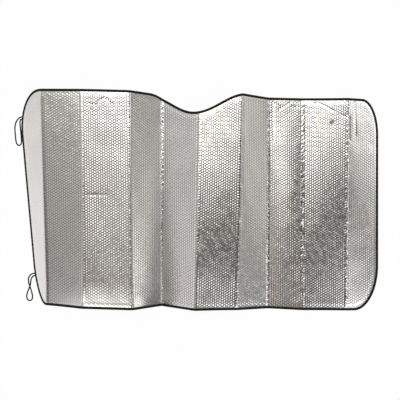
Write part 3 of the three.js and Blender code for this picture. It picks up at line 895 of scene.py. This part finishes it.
cup = {
    # (radius, level) from the middle of the head, through the neck, out over the cup and back to its middle
    "profile": [(0.0, -5.2), (2.9, -5.05), (4.9, -4.2), (5.7, -3.2), (5.8, -2.3), (3.0, -2.3), (3.0, 2.3),
                (6.7, 2.3), (7.0, 2.6), (7.0, 3.8), (7.4, 4.2), (9.2, 5.6), (11.2, 7.4), (12.3, 8.5),
                (12.5, 8.8), (12.5, 9.3), (10.9, 9.3), (9.6, 8.5), (7.4, 7.5), (4.9, 6.7), (2.4, 6.3),
                (0.0, 6.15)],
    "segments": 72, "bossRadius": 7.1, "bossTop": 4.0, "lipRadius": 12.3, "lipThickness": 0.55,
    "colour": (0.93, 0.94, 0.92, 1), "bossColour": (0.27, 0.28, 0.26, 1),
    "thinAlpha": 0.16, "thickAlpha": 0.92, "scuffs": 0.25, "roughness": 0.06, "ior": 1.42,
}
cupMaterial, tree, principled = newMaterial("clear vinyl")
solid = attribute(tree, "thickness")
put(tree, principled["Base Color"], mixColour(tree, solid, cup["colour"], cup["bossColour"]))
put(tree, principled["Alpha"], smooth(tree, solid, 0.0, 1.0, cup["thinAlpha"], cup["thickAlpha"]))
scuffs = useGroup(tree, dustTree, {"Place": coordinate(tree, "Object"), "Amount": cup["scuffs"]})
put(tree, principled["Roughness"], reckon(tree, "MULTIPLY_ADD", scuffs["Mask"], 0.5, cup["roughness"]))
principled["IOR"].default_value = cup["ior"]

profile = cup["profile"]
origin, acrossPoint, upPoint = (Vector(foldedPlace([cupU + du], [cupV + dv], np.array([0.0]))[0])
                                for du, dv in ((0, 0), (1, 0), (0, 1)))
cupAxis = (acrossPoint - origin).cross(upPoint - origin).normalized()
cupSide = (acrossPoint - origin).normalized()
cupUp = cupAxis.cross(cupSide)
segments, rings = cup["segments"], len(profile) - 2
cupPoints = [origin + cupAxis * (profile[0][1] * mm)]
for radius, level in profile[1:-1]:
    for step in range(segments):
        angle = 2 * math.pi * step / segments
        out = cupSide * math.cos(angle) + cupUp * math.sin(angle)
        cupPoints.append(origin + out * (radius * mm) + cupAxis * (level * mm))
cupPoints.append(origin + cupAxis * (profile[-1][1] * mm))
cupFaces = [tuple(1 + corner for corner in face) for face in tubeFaces(rings, segments)]
lastRing = 1 + (rings - 1) * segments
for step in range(segments):
    after = (step + 1) % segments
    cupFaces.append((0, 1 + after, 1 + step))
    cupFaces.append((len(cupPoints) - 1, lastRing + step, lastRing + after))
clearCup = makePiece("suction_cup_clear", [tuple(point) for point in cupPoints], cupFaces, cupMaterial)


def cupThickness(radius, level):
    if radius <= cup["bossRadius"] and level < cup["bossTop"]:
        return 1.0
    return cup["lipThickness"] if radius >= cup["lipRadius"] else 0.0


ringThickness = [cupThickness(*stop) for stop in profile]
storeAttribute(clearCup, "thickness", [ringThickness[0], *np.repeat(ringThickness[1:-1], segments),
                                       ringThickness[-1]])
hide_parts("suction_cup")
print("cup made")


# floor and light

ground = {"half": 4.0, "level": -0.0002, "colour": (0.88, 0.88, 0.88, 1), "glow": 1.0, "glowShare": 0.965}
floorMaterial, tree, principled = newMaterial("white floor")
nodes, links = tree.nodes, tree.links
nodes.remove(nodes["Principled BSDF"])
diffuse = nodes.new("ShaderNodeBsdfDiffuse")
diffuse.inputs["Color"].default_value = ground["colour"]
glow = nodes.new("ShaderNodeEmission")
glow.inputs["Strength"].default_value = ground["glow"]
rays = nodes.new("ShaderNodeLightPath")
direct = reckon(tree, "MAXIMUM", rays.outputs["Is Camera Ray"], rays.outputs["Is Glossy Ray"])
direct = reckon(tree, "MAXIMUM", direct, rays.outputs["Is Transmission Ray"])
blend = nodes.new("ShaderNodeMixShader")
links.new(reckon(tree, "MULTIPLY", direct, ground["glowShare"]), blend.inputs["Fac"])
links.new(diffuse.outputs[0], blend.inputs[1])
links.new(glow.outputs[0], blend.inputs[2])
links.new(blend.outputs[0], nodes["Material Output"].inputs["Surface"])
floorMesh = bpy.data.meshes.new("floor")
half = ground["half"]
floorCorners = [(-half, -half, 0), (half, -half, 0), (half, half, 0), (-half, half, 0)]
floorMesh.from_pydata(floorCorners, [], [(0, 1, 2, 3)])
floorMesh.materials.append(floorMaterial)
floor = bpy.data.objects.new("floor", floorMesh)
floor.location.z = ground["level"]
scene.collection.objects.link(floor)

# soft lights in the sky: degrees towards +X and +Y from straight up, spread, strength
sky = {
    "ambient": (0.175, 0.17, 0.17),
    "lights": {
        "left horizon": (-90, -14, 14, (0.45, 0.45, 0.45)), "left wall": (-66, -14, 14, (0.4, 0.35, 0.35)),
        "left middle": (-66, 12, 14, (0.45, 0.45, 0.45)), "left far window": (-66, 38, 14, (1.0, 1.0, 1.0)),
        "left window": (-46, 38, 14, (1.0, 1.0, 1.0)), "right near window": (90, -40, 14, (1.0, 1.0, 1.0)),
        "right horizon": (90, -14, 14, (1.05, 1.05, 1.0)), "right wall": (90, 12, 14, (0.4, 0.35, 0.3)),
        "ceiling": (-30, 0, 8, (0.45, 0.45, 0.4)), "near ceiling": (-18, -24, 8, (0.8, 0.65, 0.6)),
        "window": (-6, 12, 8, (1.15, 1.1, 1.05)), "window above": (-6, 24, 8, (4.2, 4.2, 4.2)),
        "window side": (6, 24, 8, (0.6, 0.6, 0.5)), "near lamp": (30, -24, 8, (2.3, 2.3, 2.3)),
        "near corner": (43, -36, 8, (4.0, 4.0, 4.0)), "far corner": (43, 12, 8, (1.8, 1.8, 1.75)),
        "dark camera side": (6, 0, 26, (-0.12, -0.12, -0.12)),
    },
    "walls": {"spread": 16, "colour": (0.22, 0.22, 0.22),
              "places": [(90, 0), (-90, 0), (0, 84), (0, -84), (90, 45), (-90, 45), (90, -45), (-90, -45)]},
}
world = bpy.data.worlds.new("soft studio")
world.use_nodes = True
scene.world = world
tree = world.node_tree
direction = vectorMath(tree, "NORMALIZE", coordinate(tree, "Generated"))
walls = [(*place, sky["walls"]["spread"], sky["walls"]["colour"]) for place in sky["walls"]["places"]]
total = sky["ambient"]
for toX, toY, spread, colour in [*sky["lights"].values(), *walls]:
    toX, toY = math.radians(toX), math.radians(toY)
    toward = (math.sin(toX) * math.cos(toY), math.sin(toY), math.cos(toX) * math.cos(toY))
    near = vectorMath(tree, "DOT_PRODUCT", direction, toward)
    lobe = reckon(tree, "POWER", reckon(tree, "MAXIMUM", near, 0.0), math.radians(spread) ** -2)
    total = vectorMath(tree, "ADD", vectorMath(tree, "SCALE", colour, scale=lobe), total)
toCamera = tree.nodes.new("ShaderNodeLightPath").outputs["Is Camera Ray"]
put(tree, tree.nodes["Background"].inputs["Color"], mixColour(tree, toCamera, total, (1, 1, 1, 1)))
print("floor and light made")
